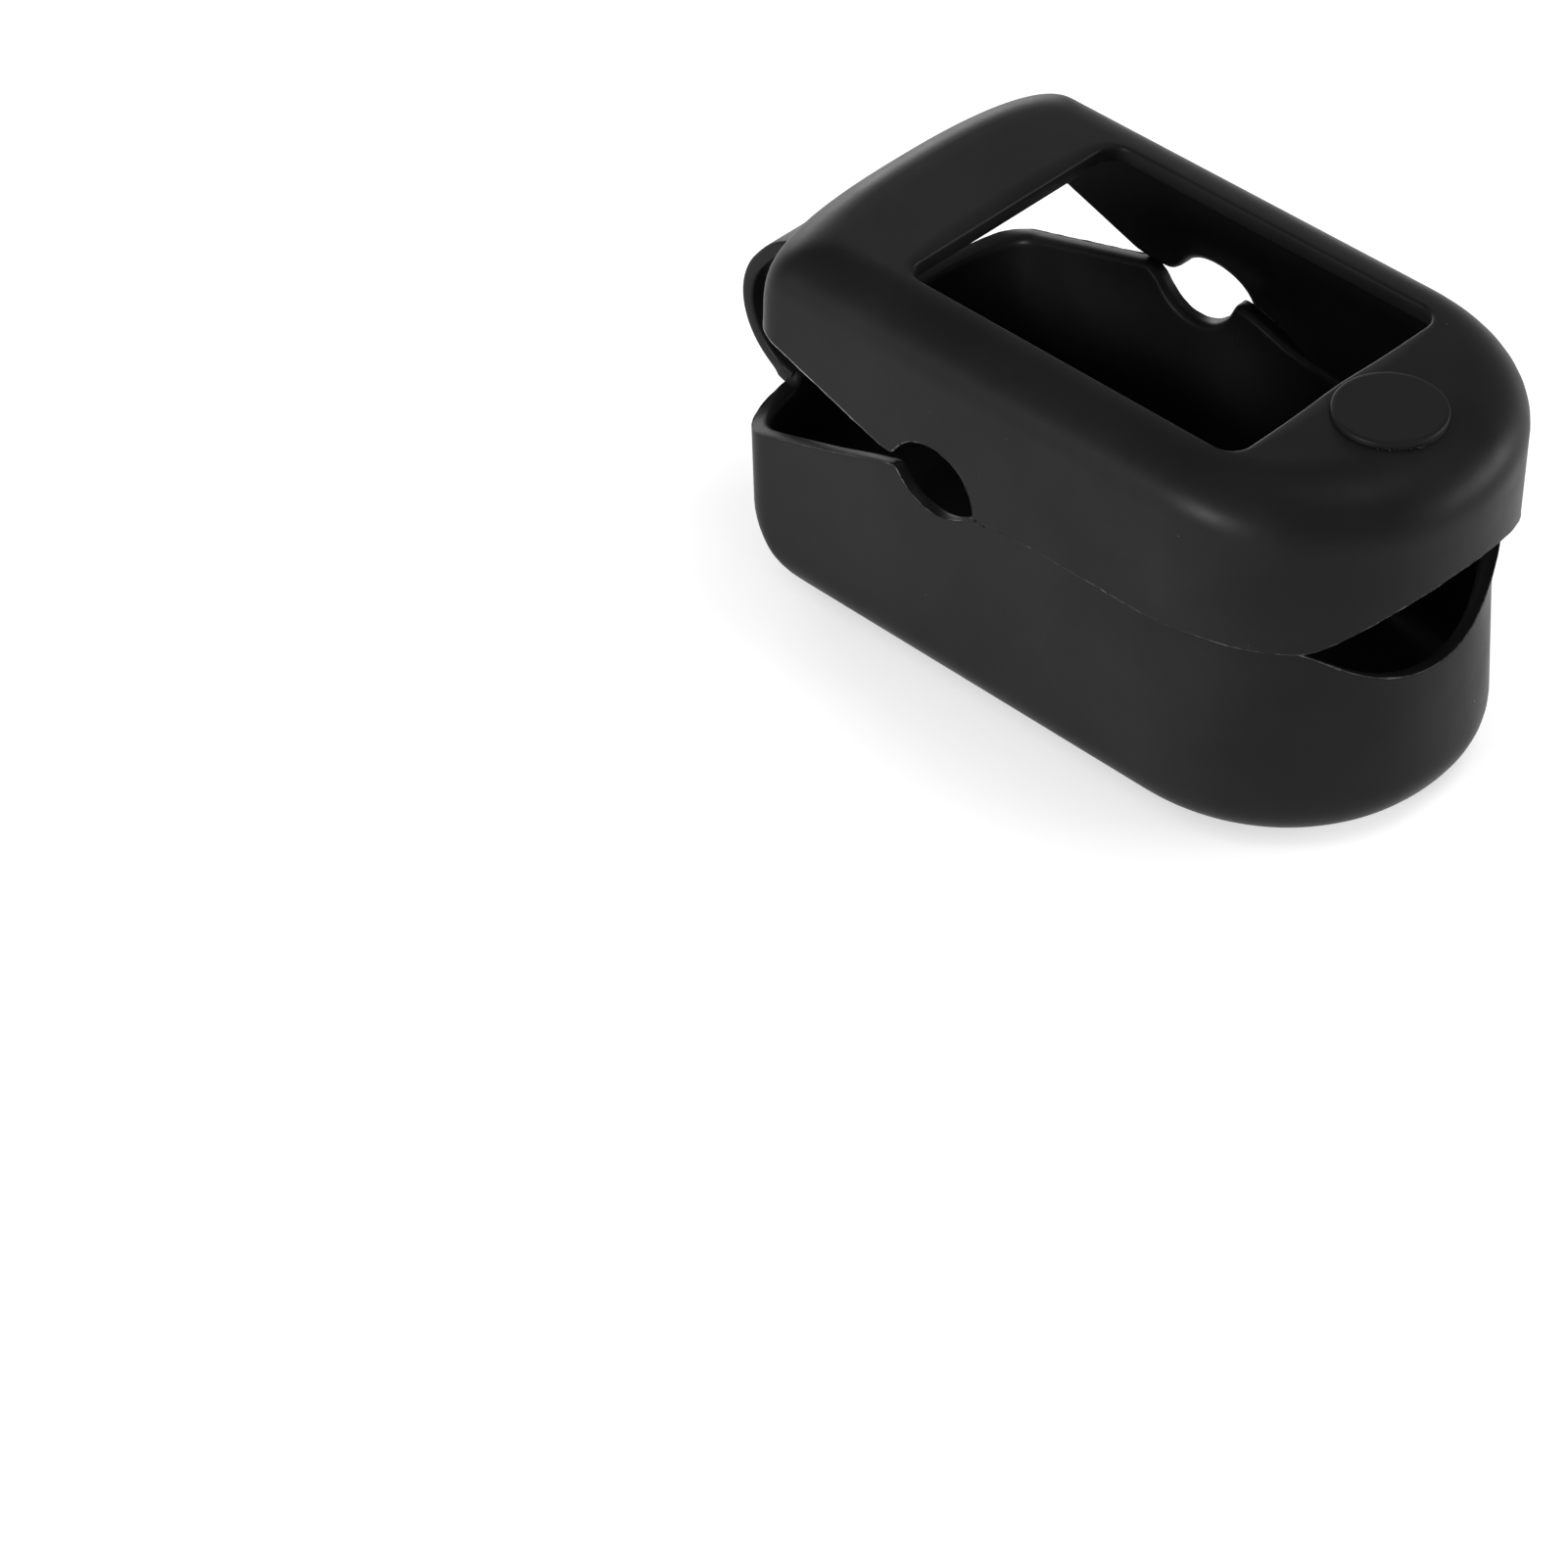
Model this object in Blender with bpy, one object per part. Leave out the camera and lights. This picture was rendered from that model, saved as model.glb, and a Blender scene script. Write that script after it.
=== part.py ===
"""Soft silicone cover for a fingertip pulse oximeter, closed, in its real size.

The cover is one moulding: a lower tray, an upper tray turned upside down on it, a raised pad over
the power button, and two flat straps that join the rear rims. Each working region is one object.
The straps bend in the real cover; here each is cut into stretches that turn about four hinge axes.

Frame: the origin is the centre of the flat underside, +X runs along the cover to the finger end,
+Y across it and +Z up. Dimensions are in millimetres and degrees until MM turns them into metres.
"""

from dataclasses import dataclass
from math import cos, pi, radians, sin, sqrt, tan

import bmesh
import bpy

MM = 0.001

# Walls
WALL = 1.3
PLATE = 1.5
GAP = 0.3  # between faces that touch on the real cover

# Outline of both trays
FRONT_ROUND = 2.1  # exponent of the half-ellipse at the finger end
REAR_ROUND = 2.5  # exponent of the squarer rear end
CAP_POINTS = 21  # points round each end
FILLET_STEPS = 5
REFERENCE_Z = 18.0  # height at which the outlines below are given

# Rims: heights of the parting line between the trays
LOWER_RIM_Z = 19.8
UPPER_RIM_Z = LOWER_RIM_Z + GAP
REAR_RIM_Z = 14.1
TOP_Z = 34.7

# Side notches, a round bite out of each tray
NOTCH_X = -7.0
NOTCH_LOWER_Z = 21.9
NOTCH_LOWER_R = 4.8
NOTCH_UPPER_Z = 19.6
NOTCH_UPPER_R = 4.5
NOTCH_STEPS = 14

# Finger scoops in the front walls
LOWER_SCOOP_Z = 14.1
LOWER_SCOOP_R = 15.5
UPPER_SCOOP_Z = 24.9
UPPER_SCOOP_R = 20.0
SCOOP_REAR = 14.0  # the scoops start behind the front walls
CLEAR = 45.0  # cutters run this far out, past every face

# Display window and button pad in the top plate
WINDOW_REAR = -14.7
WINDOW_FRONT = 18.8
WINDOW_HALF = 12.2
WINDOW_CORNER = 2.0
PAD_X = 24.0
PAD_R = 4.6
PAD_PROUD = 0.5
PAD_CLEARANCE = 0.25

# Straps: a flat strip that loops on an arc behind the rear wall when the cover is closed
STRAP_X = -27.8
STRAP_Z = 20.9
STRAP_R = 7.15
STRAP_THICK = 1.25
STRAP_NEAR = 3.2  # distance of its inner edge from the centre plane
STRAP_FAR = 8.9
HINGE_ANGLES = (-54.0, -18.0, 18.0, 54.0)  # places on the arc, from straight back, upwards
SEGMENT_GAP = 3.2  # arc left open at each hinge, in degrees
LOWER_ROOT_ANGLE = -68.0
UPPER_ROOT_ANGLE = 84.0
ROOT_LENGTH = 0.3  # the upper root stands this far off the rear wall
LAST_ANGLE = 68.0  # the strap ends here, clear of the root when the cover is squeezed

# Ears of the rear rim beside the lanyard recess
EAR_TOP = 15.1
EAR_BUMP = 15.9
EAR_BUMP_WIDTH = 2.5
EAR_INSET = 0.55  # the ears stay inside the bowed rear wall
RECESS_HALF = 1.6
RECESS_Z = 12.8


@dataclass
class Tray:
    """Outer shape of a tray, measured up from its closed face."""

    rear: float
    front: float
    half_width: float
    front_cap: float
    rear_cap: float
    rear_draft: float
    front_draft: float
    side_draft: float
    side_fillet: float
    front_fillet: tuple  # run and rise
    rear_fillet: tuple
    depth: float  # from the closed face to the reference height


LOWER = Tray(-31.0, 30.7, 16.5, 16.9, 5.0, 1.0, -4.9, 1.4, 3.2, (5.2, 4.6), (7.6, 6.7), REFERENCE_Z)
UPPER = Tray(
    -29.1, 32.7, 17.1, 16.6, 5.0, 0.9, -0.3, 0.3, 4.2, (6.2, 4.6), (5.1, 6.7), TOP_Z - REFERENCE_Z
)


def fillet(rise, run, height):
    """How far a filleted wall stands in at a height above its closed face."""
    if rise >= height:
        return 0.0
    return run * (1 - sqrt(max(0.0, 1 - (1 - rise / height) ** 2)))


def cap(length, half, exponent):
    """Points of a half superellipse from -Y round +X to +Y, about its own centre."""
    points = []
    for i in range(CAP_POINTS):
        angle = pi * (i / (CAP_POINTS - 1) - 0.5)
        side = 1 if angle > 0 else -1
        along = length * abs(cos(angle)) ** (2 / exponent)
        points.append((along, side * half * abs(sin(angle)) ** (2 / exponent)))
    return points


def outline(tray, rise, inset=0.0, floor=0.0):
    """Plan outline of a tray at a height above its closed face; inset and floor give its inside."""
    below = tray.depth - rise
    lift = rise - floor
    side = fillet(lift, tray.side_fillet - inset, tray.side_fillet - inset)
    end = fillet(lift, tray.front_fillet[0] - inset, tray.front_fillet[1] - inset)
    back = fillet(lift, tray.rear_fillet[0] - inset, tray.rear_fillet[1] - inset)
    half = tray.half_width - below * tan(radians(tray.side_draft)) - inset - side
    front = tray.front - below * tan(radians(tray.front_draft)) - inset - end
    rear = tray.rear + below * tan(radians(tray.rear_draft)) + inset + back
    scale = half / tray.half_width
    front_cap = tray.front_cap * scale
    rear_cap = tray.rear_cap * scale
    ahead = [(front - front_cap + x, y) for x, y in cap(front_cap, half, FRONT_ROUND)]
    behind = [(rear + rear_cap - x, y) for x, y in cap(rear_cap, half, REAR_ROUND)]
    return ahead + behind[::-1]


def levels(low, high, top):
    """Heights of the rings: close together round the fillet, then one step to the top."""
    steps = [high - (high - low) * cos(pi / 2 * i / FILLET_STEPS) for i in range(FILLET_STEPS)]
    return steps + [high, top]


def material(name, colour, roughness):
    """A Principled material."""
    made = bpy.data.materials.new(name)
    made.use_nodes = True
    shader = made.node_tree.nodes["Principled BSDF"]
    shader.inputs["Base Color"].default_value = (*colour, 1.0)
    shader.inputs["Roughness"].default_value = roughness
    shader.inputs["Metallic"].default_value = 0.0
    return made


def add_object(name, mesh_builder, finish=None):
    """Make an object from a filled bmesh, with its faces pointing out."""
    work = bmesh.new()
    mesh_builder(work)
    bmesh.ops.recalc_face_normals(work, faces=work.faces)
    mesh = bpy.data.meshes.new(name)
    work.to_mesh(mesh)
    work.free()
    made = bpy.data.objects.new(name, mesh)
    bpy.context.scene.collection.objects.link(made)
    if finish:
        mesh.materials.append(finish)
    return made


def cutter(name, mesh_builder):
    """A hidden object that only shapes others."""
    made = add_object(name, mesh_builder)
    made.hide_render = True
    made.display_type = "WIRE"
    return made


def combine(target, tool, operation):
    """Stack an exact Boolean on an object."""
    step = target.modifiers.new(tool.name, "BOOLEAN")
    step.operation = operation
    step.solver = "EXACT"
    step.object = tool


def loop(work, points, z):
    """A ring of vertices at one height."""
    return [work.verts.new((x * MM, y * MM, z * MM)) for x, y in points]


def bridge(work, first, second):
    """Quads between two rings of equal length."""
    for i in range(len(first)):
        j = (i + 1) % len(first)
        work.faces.new((first[i], first[j], second[j], second[i]))


def prism(profile, low_y, high_y):
    """Builder of a solid with a side profile in X and Z, from one Y to another."""

    def fill(work):
        near = [work.verts.new((x * MM, low_y * MM, z * MM)) for x, z in profile]
        far = [work.verts.new((x * MM, high_y * MM, z * MM)) for x, z in profile]
        bridge(work, near, far)
        work.faces.new(near)
        work.faces.new(far)

    return fill


def post(points, low_z, high_z):
    """Builder of a solid with a plan outline, from one height to another."""

    def fill(work):
        low = loop(work, points, low_z)
        high = loop(work, points, high_z)
        bridge(work, low, high)
        work.faces.new(low)
        work.faces.new(high)

    return fill


def bore(axis_z, radius):
    """Builder of a round bar along X that cuts a finger scoop out of a front wall."""
    ring = circle(0, axis_z, radius, 64)

    def fill(work):
        rear = [work.verts.new((SCOOP_REAR * MM, y * MM, z * MM)) for y, z in ring]
        front = [work.verts.new((CLEAR * MM, y * MM, z * MM)) for y, z in ring]
        bridge(work, rear, front)
        work.faces.new(rear)
        work.faces.new(front)

    return fill


def circle(x, y, radius, count):
    """Points round a circle."""
    turns = [2 * pi * i / count for i in range(count)]
    return [(x + radius * cos(turn), y + radius * sin(turn)) for turn in turns]


def tray_solid(tray, height_of):
    """Builder of a tray with a wall and a closed face, taller than it needs to be."""
    fillet_top = max(tray.side_fillet, tray.front_fillet[1], tray.rear_fillet[1])
    tall = tray.depth + 12.0

    def fill(work):
        outer = levels(0.0, fillet_top, tall)
        inner = levels(PLATE, fillet_top, tall)
        outside = [loop(work, outline(tray, rise), height_of(rise)) for rise in outer]
        inside = [loop(work, outline(tray, rise, WALL, PLATE), height_of(rise)) for rise in inner]
        for rings in (outside, inside):
            for low, high in zip(rings, rings[1:]):
                bridge(work, low, high)
            work.faces.new(rings[0])
        bridge(work, outside[-1], inside[-1])

    return fill


def arc(x, z, radius, first, last, count):
    """Points on an arc in the side view; angles are measured from +X towards +Z."""
    turns = [radians(first + (last - first) * i / (count - 1)) for i in range(count)]
    return [(x + radius * cos(turn), z + radius * sin(turn)) for turn in turns]


def lower_rim_line():
    """Side view of the lower rim, from rear to front."""
    bite = arc(NOTCH_X, NOTCH_LOWER_Z, NOTCH_LOWER_R, -156, -39, NOTCH_STEPS)
    rear = [(-CLEAR, REAR_RIM_Z), (-28.6, REAR_RIM_Z), (-26, 14.9), (-23, 15.8), (-18.5, 17.3)]
    rear += [(-14, 19.0)]
    front = [(-2.6, 18.85), (0, 19.5), (2.5, LOWER_RIM_Z), (CLEAR, LOWER_RIM_Z)]
    return rear + bite + front


def upper_rim_line():
    """Side view of the upper rim, from rear to front."""
    bite = arc(NOTCH_X, NOTCH_UPPER_Z, NOTCH_UPPER_R, 157, -3, NOTCH_STEPS)
    rear = [(-CLEAR, 26.8), (-28.6, 26.7), (-25.0, 25.5), (-13, 21.6)]
    front = [(-2.3, 19.2), (0, 19.85), (2.5, UPPER_RIM_Z), (15, UPPER_RIM_Z), (20, 20.5)]
    front += [(CLEAR, 20.6)]
    return rear + bite + front


def strap_point(angle, offset):
    """A point of the closed strap's arc; offset is measured outwards from its middle."""
    reach = STRAP_R + offset
    turn = radians(angle)
    return (STRAP_X - reach * cos(turn), STRAP_Z + reach * sin(turn))


def strap_profile(first, last, count=4):
    """Side view of a stretch of strap."""
    half = STRAP_THICK / 2
    angles = [first + (last - first) * i / (count - 1) for i in range(count)]
    outside = [strap_point(angle, half) for angle in angles]
    inside = [strap_point(angle, -half) for angle in reversed(angles)]
    return outside + inside


def strap_sides():
    """Name, low Y and high Y of each strap."""
    return (("left", STRAP_NEAR, STRAP_FAR), ("right", -STRAP_FAR, -STRAP_NEAR))


def add_ears(lower):
    """Raise the lower tray's rear rim at the strap roots and start the straps there."""
    outer_x = LOWER.rear + EAR_INSET
    inner_x = LOWER.rear + WALL
    start = strap_profile(LOWER_ROOT_ANGLE, HINGE_ANGLES[0] - SEGMENT_GAP / 2)
    ear = [(inner_x, EAR_TOP), (inner_x, RECESS_Z), (outer_x, RECESS_Z), (outer_x, EAR_TOP)]
    bump = [(x, EAR_BUMP if z == EAR_TOP else z) for x, z in ear]
    for name, low, high in strap_sides():
        inner = (RECESS_HALF, RECESS_HALF + EAR_BUMP_WIDTH)
        if low < 0:
            inner = (-inner[1], -inner[0])
        for label, profile, span in (
            ("start", start, (low, high)),
            ("ear", ear, (low + 0.01, high - 0.01)),
            ("bump", bump, inner),
        ):
            tool = cutter(f"tool_lower_{label}_{name}", prism(profile, *span))
            combine(lower, tool, "UNION")


def add_roots(upper):
    """Short stubs on the upper tray's rear wall where the straps end."""
    low = strap_point(UPPER_ROOT_ANGLE, -STRAP_THICK / 2)[1]
    rear = UPPER.rear
    stub = [
        (rear - ROOT_LENGTH, low),
        (rear + 0.8, low),
        (rear + 0.8, low + STRAP_THICK),
        (rear - ROOT_LENGTH, low + STRAP_THICK),
    ]
    for name, near, far in strap_sides():
        combine(upper, cutter(f"tool_upper_root_{name}", prism(stub, near, far)), "UNION")


def make_lower(finish):
    """Lower tray, rim cut to its side view, with finger scoop, recess and strap ears."""
    lower = add_object("lower_shell", tray_solid(LOWER, lambda rise: rise), finish)
    above = lower_rim_line() + [(CLEAR, CLEAR), (-CLEAR, CLEAR)]
    combine(lower, cutter("tool_lower_rim", prism(above, -CLEAR, CLEAR)), "DIFFERENCE")
    scoop = bore(LOWER_SCOOP_Z + LOWER_SCOOP_R, LOWER_SCOOP_R)
    combine(lower, cutter("tool_lower_scoop", scoop), "DIFFERENCE")
    recess = [(-CLEAR, RECESS_Z), (-25, RECESS_Z), (-25, CLEAR), (-CLEAR, CLEAR)]
    tool = cutter("tool_recess", prism(recess, -RECESS_HALF - 1.0, RECESS_HALF + 1.0))
    combine(lower, tool, "DIFFERENCE")
    add_ears(lower)
    return lower


def rounded_window():
    """Plan outline of the display window."""
    points = []
    corners = (
        (WINDOW_FRONT, WINDOW_HALF, 0),
        (WINDOW_REAR, WINDOW_HALF, 90),
        (WINDOW_REAR, -WINDOW_HALF, 180),
        (WINDOW_FRONT, -WINDOW_HALF, 270),
    )
    for x, y, first in corners:
        centre_x = x - WINDOW_CORNER if x > 0 else x + WINDOW_CORNER
        centre_y = y - WINDOW_CORNER if y > 0 else y + WINDOW_CORNER
        points += arc(centre_x, centre_y, WINDOW_CORNER, first, first + 90, 5)
    return points


def make_upper(finish):
    """Upper tray, open side down, with window, pad hole, finger scoop and strap roots."""
    upper = add_object("upper_shell", tray_solid(UPPER, lambda rise: TOP_Z - rise), finish)
    below = upper_rim_line() + [(CLEAR, -CLEAR), (-CLEAR, -CLEAR)]
    combine(upper, cutter("tool_upper_rim", prism(below, -CLEAR, CLEAR)), "DIFFERENCE")
    scoop = bore(UPPER_SCOOP_Z - UPPER_SCOOP_R, UPPER_SCOOP_R)
    combine(upper, cutter("tool_upper_scoop", scoop), "DIFFERENCE")
    window = cutter("tool_window", post(rounded_window(), TOP_Z - 8, TOP_Z + 8))
    combine(upper, window, "DIFFERENCE")
    hole = circle(PAD_X, 0, PAD_R + PAD_CLEARANCE, 32)
    combine(upper, cutter("tool_pad_hole", post(hole, TOP_Z - 8, TOP_Z + 8)), "DIFFERENCE")
    add_roots(upper)
    return upper


def make_pad(finish):
    """Round button pad, a little proud of the top plate."""
    rings = (
        (TOP_Z - PLATE, PAD_R),
        (TOP_Z + PAD_PROUD - 0.2, PAD_R),
        (TOP_Z + PAD_PROUD, PAD_R - 0.25),
    )

    def fill(work):
        loops = [loop(work, circle(0, 0, radius, 32), z - TOP_Z) for z, radius in rings]
        for low, high in zip(loops, loops[1:]):
            bridge(work, low, high)
        work.faces.new(loops[0])
        work.faces.new(loops[-1])

    pad = add_object("button_pad", fill, finish)
    pad.location = (PAD_X * MM, 0, TOP_Z * MM)
    return pad


def make_straps(finish):
    """Four stretches of each strap, each with its origin on the hinge it turns about."""
    ends = list(HINGE_ANGLES) + [None]
    for side, near, far in strap_sides():
        for index, angle in enumerate(HINGE_ANGLES):
            first = angle + SEGMENT_GAP / 2
            last = ends[index + 1] - SEGMENT_GAP / 2 if ends[index + 1] else LAST_ANGLE
            pivot = strap_point(angle, GAP)
            profile = [(x - pivot[0], z - pivot[1]) for x, z in strap_profile(first, last)]
            name = f"strap_{side}_{index + 1}"
            made = add_object(name, prism(profile, near, far), finish)
            made.location = (pivot[0] * MM, 0, pivot[1] * MM)


def main():
    for old in list(bpy.data.objects):
        bpy.data.objects.remove(old)
    silicone = material("black_silicone", (0.022, 0.022, 0.024), 0.5)
    pad_silicone = material("pad_silicone", (0.020, 0.020, 0.022), 0.55)
    strap_silicone = material("strap_silicone", (0.022, 0.022, 0.024), 0.48)
    make_lower(silicone)
    make_upper(silicone)
    make_pad(pad_silicone)
    make_straps(strap_silicone)


main()
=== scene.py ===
"""Looks of a soft silicone cover for a fingertip pulse oximeter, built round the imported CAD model.

The two trays are skins drawn through rings of points: each ring runs once round the tray, and the
rings go over the outside, across the rim and down the inside. A ring is made of a far half (+Y) and
a near half, because the photographed cover sits a little askew on its far side. Lengths are in
millimetres and angles in degrees until MM turns them into metres. The frame is the CAD model's: the
origin is the centre of the flat underside, +X runs to the finger end and +Z up.
"""

from dataclasses import dataclass
from math import cos, pi, radians, sin

import bmesh
import bpy
import numpy as np
from mathutils import Matrix, Vector


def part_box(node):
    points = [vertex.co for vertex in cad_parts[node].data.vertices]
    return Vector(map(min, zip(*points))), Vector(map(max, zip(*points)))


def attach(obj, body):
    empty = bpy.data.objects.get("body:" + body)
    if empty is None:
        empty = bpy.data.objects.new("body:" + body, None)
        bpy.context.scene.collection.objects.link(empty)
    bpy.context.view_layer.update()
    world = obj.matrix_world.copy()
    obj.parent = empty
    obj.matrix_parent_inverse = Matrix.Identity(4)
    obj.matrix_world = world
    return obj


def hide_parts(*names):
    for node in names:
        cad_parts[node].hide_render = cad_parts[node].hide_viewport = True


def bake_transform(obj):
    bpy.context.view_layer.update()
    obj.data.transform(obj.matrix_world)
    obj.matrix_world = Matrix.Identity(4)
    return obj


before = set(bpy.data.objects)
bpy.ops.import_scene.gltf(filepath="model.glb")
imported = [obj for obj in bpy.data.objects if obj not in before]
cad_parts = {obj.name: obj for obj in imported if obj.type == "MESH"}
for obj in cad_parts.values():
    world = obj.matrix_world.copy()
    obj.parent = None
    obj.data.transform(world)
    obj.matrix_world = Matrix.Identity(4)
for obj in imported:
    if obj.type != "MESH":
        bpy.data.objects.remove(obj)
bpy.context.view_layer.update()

MM = 0.001

# Heights and faces taken from the CAD model
TOP_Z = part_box("upper_shell")[1].z / MM
PAD_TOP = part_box("button_pad")[1].z / MM
STRAP_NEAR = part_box("strap_left_1")[0].y / MM
STRAP_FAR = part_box("strap_left_1")[1].y / MM

WALL = 1.3
PLATE = 1.5
FRONT_ROUND = 2.1  # exponent of the superellipse that rounds the finger end
REAR_ROUND = 2.5
REFERENCE_Z = 18.0  # height at which the trays' plans are measured
BEYOND = 45.0  # rim lines run this far out

# How finely the skins are drawn
FRONT_COLUMNS = 44
SIDE_COLUMNS = 96
REAR_COLUMNS = 60
FILLET_RINGS = 14
WALL_RINGS = 8
PLATE_RINGS = 7
FLOOR_RINGS = 6
LINE_STEP = 0.05
DETAIL_WEIGHT = 2.0  # how much closer together the columns are beside a detail of an end
DETAIL_WIDTH = 0.7
SCOOP_DETAIL = 12.2  # half width at which the finger scoops meet the seam
CURVE_WEIGHT = 1.6  # how much closer together the side columns are at a rim's corners
END_BLEND = 9.0  # length over which the side columns give way to those of the ends

# Rim edges
EDGE_R = 0.13
INNER_EDGE_R = 0.6
EDGE_SUPPORT = 0.36  # the wall's last ring keeps this far from its rim
EDGE_TURNS = (0.0, 22.5, 45.0, 67.5, 90.0)
CORNER_SOFTNESS = 0.42  # how far a rim's corners are rounded

# Moulding flash: a bead along each rim, and crumbs by the pad and the near notch
BEAD_R = 0.06
BEAD_UNEVEN = 0.4
BEAD_SIDES = 6
BEAD_INSET = 0.3  # as a share of the rim's edge radius
CRUMB_SEED = 7
CRUMB_R = (0.04, 0.1)
CRUMB_SHAPE = (1.8, 0.8, 0.7, 1.0)
PAD_CRUMBS = 9
PAD_CRUMB_ANGLES = (-62, -12)
PAD_CRUMB_REACH = 0.25
NOTCH_CRUMBS = 6
NOTCH_CRUMB_X = (-2.4, -1.4)
NOTCH_CRUMB_Z = (19.25, 19.6)

# Finger scoops
LOWER_SCOOP_Z = 14.45
LOWER_SCOOP_R = 15.5
UPPER_SCOOP_Z = 24.9
UPPER_SCOOP_R = 20.0
LOWER_SCOOP_BLEND = 2.2  # how far the corners beside the scoop are rounded
UPPER_SCOOP_BLEND = 1.0

# The far side of the lower tray's finger end flares: how far, from what height and where
FLARE = 0.7
FLARE_Z = (14.8, 19.6)
FLARE_X = (14.0, 22.0)
FLARE_Y = (2.0, 8.0)

# Window
WINDOW_REAR = -14.7
WINDOW_FRONT = 19.0
WINDOW_HALF = 12.2
WINDOW_CORNER = 1.8
WINDOW_BOW = 0.22  # the front edge bows round the pad
WINDOW_BOW_WIDTH = 3.6
WINDOW_EDGE = 0.3
WINDOW_TURN_X = (13.0, -10.0)  # where the rings start to turn round the window's ends
WINDOW_TURNS = (0.0, 30.0, 60.0, 90.0)

# Button pad
PAD_X = 24.0
PAD_R = 4.55
PAD_HOLE_CLEARANCE = 0.025
PAD_EDGE = 0.22
PAD_INNER_PROUD = 0.3
PAD_TURNS = (0.0, 30.0, 60.0, 90.0)
SHARP_ANGLE = 50.0  # edges that turn more than this are drawn sharp round the pad's hole

# Straps: an arc in the side view, with angles measured up from the rearmost point
STRAP_X = -28.9
STRAP_Z = 20.4
STRAP_R = 6.2
STRAP_SPREAD = 0.75  # the arc opens out by this much before it meets the upper tray
STRAP_SPREAD_ANGLES = (38.0, 85.0)
STRAP_THICK = 1.25
STRAP_EDGE = 0.3
STRAP_SEAMS = (-80.0, -33.0, 8.5, 36.5, 57.5, 96.0)  # where the pieces of a strap meet
STRAP_BENDS = ((-76.0, -35.0), (-31.0, 6.5), (10.5, 34.5), (38.5, 55.5), (59.5, 91.0))
STRAP_OVERLAP = 0.15
STRAP_STEP = 1.5
STRAP_EDGE_STEPS = 4
STRAP_ROOTS = (-68.0, 90.0)  # towards these the strap flares into the trays
ROOT_FLARE = 0.28
ROOT_FLARE_ANGLE = 4.0
ROOT_THICKER = 0.7
ROOT_WIDER = 0.5

# Rear rim of the lower tray: height and where it changes, from the centre outwards
EAR_STEPS = ((1.6, 12.9, 15.9), (4.2, 15.9, 15.1), (8.95, 15.1, 14.1))
EAR_SOFTNESS = 0.42
EAR_BLEND = 1.5  # the last ear gives way to the side's rim over this width
FAR_CLIMB = 0.135  # slope of the rear rim towards the far corner
FAR_CORNER = (13.0, 16.0)

# The upper rim in front of the notch: a dip, the level seam and the rise to the finger end
UPPER_SEAM = [(-2.3, 19.08), (0, 19.73), (2.5, 20.0), (15, 20.02), (19.5, 20.5), (BEYOND, 20.6)]

# The far wall of the upper tray bulges over the lower one: how far, and where along and up
BULGE = 0.9
BULGE_X = (-15.0, -11.0, -1.0, 5.0)
BULGE_Z = (22.5, 28.0)

# Camera: its angle, its distance and its lens
CAMERA_AZIMUTH = 44.052
CAMERA_ELEVATION = 41.124
CAMERA_DISTANCE = 465.67
CAMERA_LENS = 131.19
CAMERA_ORIGIN_RIGHT = 28.385  # where the part's origin is seen, right of and below the centre
CAMERA_ORIGIN_DOWN = -12.811
SENSOR = 36.0

# Finishes
SHELL_TONE = (0.0075, 0.0075, 0.0077)
SHELL_ROUGHNESS = 0.40
PAD_TONE = (0.0085, 0.0085, 0.0087)
PAD_ROUGHNESS = 0.44
SILICONE_IOR = 1.42
SILICONE_SPECULAR = 0.115
FLASH_SPECULAR = 0.15
FLASH_DARK = (0.009, 0.009, 0.0092)
# the pale colour of the flash is a painted highlight: light catching the thin flash, painted as colour
FLASH_PAINTED_HIGHLIGHT = (0.3, 0.3, 0.3)
FLASH_FRONT_HIGHLIGHT_SHARE = 0.3  # how much of the flash is painted pale as a highlight on the front of both rims
FLASH_REAR_HIGHLIGHT_SHARE = 0.8  # and beside the V opening on the upper rim, where it paints a highlight line
DULL_REAR_HIGHLIGHT_SHARE = 0.1  # and on the lower rim
FLASH_REAR_HIGHLIGHT_X = (-0.012, -0.018)  # in metres: where the flash's painted highlight grows stronger towards the rear
DUST_TONE = (0.22, 0.22, 0.22)

# The studio: name, place, target (metres), size (metres) and power (watts) of each light
LIGHTS = (
    ("key", (-0.12, -1.1, 0.14), (0.015, -0.01, 0.025), (0.35, 0.26), 10.5),
    ("top", (0.3, 0.3, 1.2), (0, 0, 0.03), (0.6, 0.6), 3.0),
    ("rear", (-1.15, 0.7, 0.12), (0, 0, 0.03), (0.9, 0.5), 8.0),
    ("side", (0.85, 0.95, 0.12), (0, 0, 0.03), (0.9, 0.5), 13.0),
)
WORLD_STRENGTH = 0.47
FLOOR_SIZE = 6000.0
FLOOR_DROP = 0.05  # the floor lies this far under the cover
FLOOR_GLOW = 0.5  # the cover stands on a lit white table


@dataclass
class Tray:
    """Outer shape of a tray, measured up from its closed face."""

    rear: float
    front: float
    half_width: float
    front_cap: float
    rear_cap: float
    rear_draft: float
    front_draft: float
    side_draft: float
    side_fillet: float
    front_fillet: tuple  # run and rise
    rear_fillet: tuple
    depth: float  # from the closed face to the reference height
    upside_down: bool
    fillet_top: float

    def z(self, rise):
        """Height in the frame."""
        return TOP_Z - rise if self.upside_down else rise

    def rise(self, z):
        """Height above the closed face."""
        return TOP_Z - z if self.upside_down else z


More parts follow.
